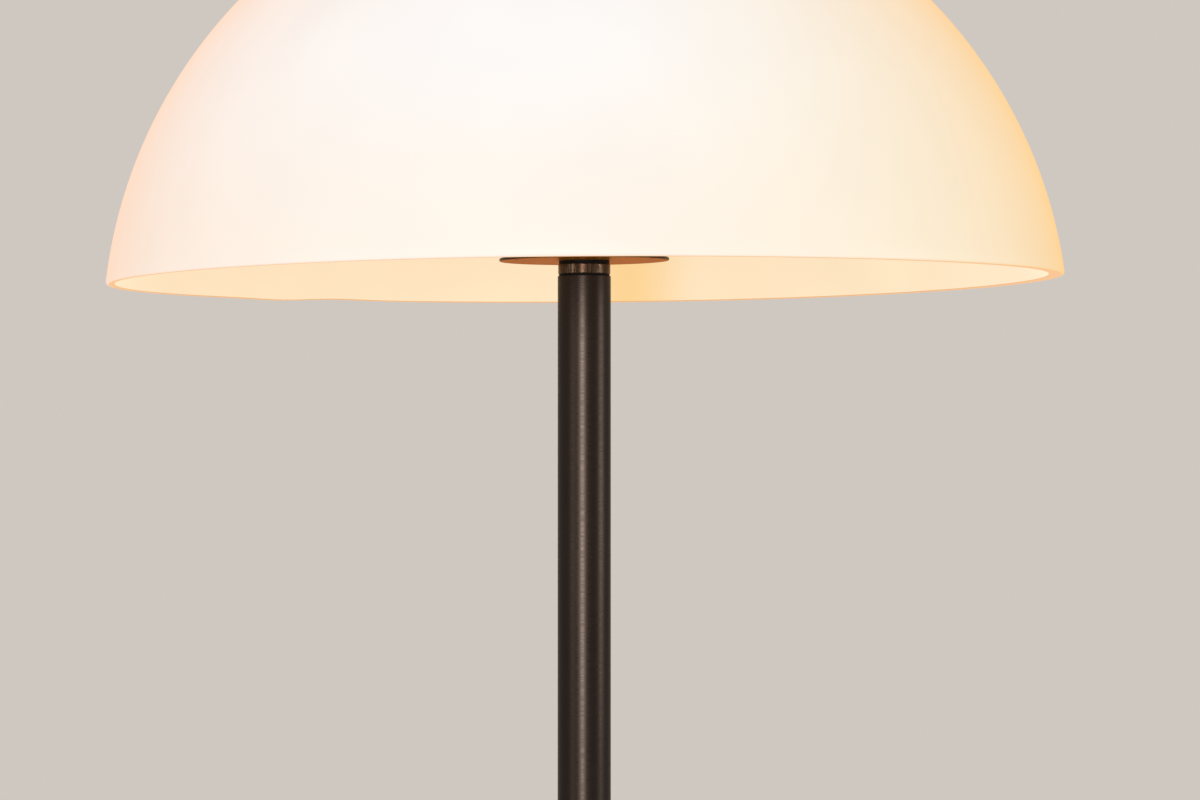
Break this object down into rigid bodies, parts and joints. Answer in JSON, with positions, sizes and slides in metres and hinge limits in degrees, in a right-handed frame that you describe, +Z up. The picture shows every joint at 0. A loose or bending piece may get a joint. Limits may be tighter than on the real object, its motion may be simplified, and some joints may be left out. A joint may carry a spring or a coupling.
{
  "type": "floor lamp",
  "caption": "Mushroom floor lamp: opal glass dome hung at its crown on a slim round stem with a disc at the mouth and a weighted round base.",
  "frame": {"origin": "centre of the base on the floor, on the stem's axis", "axes": "+Z up along the stem, +Y to the back of the lamp, where the flex enters the base"},
  "size_m": [0.4496, 0.4496, 1.4138],
  "materials": {
    "foot_rubber": "moulded matte",
    "plate_steel": "powder-coated black",
    "zinc_steel": "zinc plated",
    "weight_iron": "rough cast, primed",
    "stem_paint": "satin black-bronze",
    "black_plastic": "moulded",
    "tinned_brass": "tinned",
    "white_plastic": "moulded",
    "socket_brass": "pressed",
    "brown_core": "extruded",
    "blue_core": "extruded",
    "green_core": "extruded",
    "black_fibre": "pressed fibre",
    "collar_bronze": "blackened, worn to the metal",
    "disc_bronze": "satin black-bronze",
    "cap_bronze": "satin black-bronze",
    "clear_silicone": "moulded, translucent",
    "holder_black": "moulded",
    "porcelain": "glazed",
    "bulb_nickel": "nickelled",
    "bulb_black_glass": "fused",
    "bulb_white": "moulded",
    "led_aluminium": "white solder mask",
    "rod_steel": "nickelled wire",
    "opal_glass": "mouth-blown opal, satin outside",
    "bulb_opal": "opal, lit"
  },
  "bodies": {
    "root": {"rubber_feet": "foot_rubber", "base_plate": "plate_steel", "base_plate_screws": "zinc_steel", "base_weight": "weight_iron", "base_cover": "stem_paint", "cord_inlet_bush": "black_plastic", "base_thread": "zinc_steel", "base_washer": "zinc_steel", "base_locknut": "zinc_steel", "earth_tag": "tinned_brass", "terminal_block": "white_plastic", "terminal_clamps": "socket_brass", "stem_tube": "stem_paint", "stem_foot_plug": "zinc_steel", "stem_head_plug": "zinc_steel", "live_lead": "brown_core", "neutral_lead": "blue_core", "earth_lead": "green_core", "head_thread": "zinc_steel", "spacer_ring": "black_fibre", "collar": "collar_bronze", "gasket_ring": "black_fibre", "gallery_disc": "disc_bronze", "carrier_hub": "zinc_steel", "hub_stud": "zinc_steel", "seat_plate": "zinc_steel", "shade_gasket_lower": "clear_silicone", "holder_cap": "holder_black", "holder_shell": "holder_black", "holder_insert": "porcelain", "holder_terminals": "socket_brass", "socket_shell": "socket_brass", "centre_contact": "socket_brass", "carrier_rod_1": "rod_steel", "carrier_rod_2": "rod_steel", "carrier_rod_3": "rod_steel"},
    "shade": {"glass_shade": "opal_glass", "shade_gasket_upper": "clear_silicone"},
    "cap_washer": {"cap_washer": "cap_bronze"},
    "cap_nut": {"cap_nut": "cap_bronze"},
    "bulb": {"bulb_tip": "bulb_nickel", "bulb_insulator": "bulb_black_glass", "bulb_screw_cap": "bulb_nickel", "bulb_housing": "bulb_white", "led_board": "led_aluminium", "bulb_globe": "bulb_opal"}
  },
  "joints": [
    {"name": "shade_lift", "type": "slide", "parent": "root", "child": "shade", "axis": [0, 0, 1], "range_m": [0, 0.23]},
    {"name": "cap_lift", "type": "slide", "parent": "shade", "child": "cap_washer", "axis": [0, 0, 1], "range_m": [0, 0.0101]},
    {"name": "cap_turn", "type": "hinge", "parent": "cap_washer", "child": "cap_nut", "pos_m": [0, 0, 1.4], "axis": [0, 0, 1], "range_deg": [0, 3600]},
    {"name": "bulb_lift", "type": "slide", "parent": "root", "child": "bulb", "axis": [0, 0, 1], "range_m": [0, 0.028]}
  ],
  "couplings": [
    {"joint": "cap_lift", "follows": "cap_turn", "m_per_rad": 0.00015915}
  ]
}
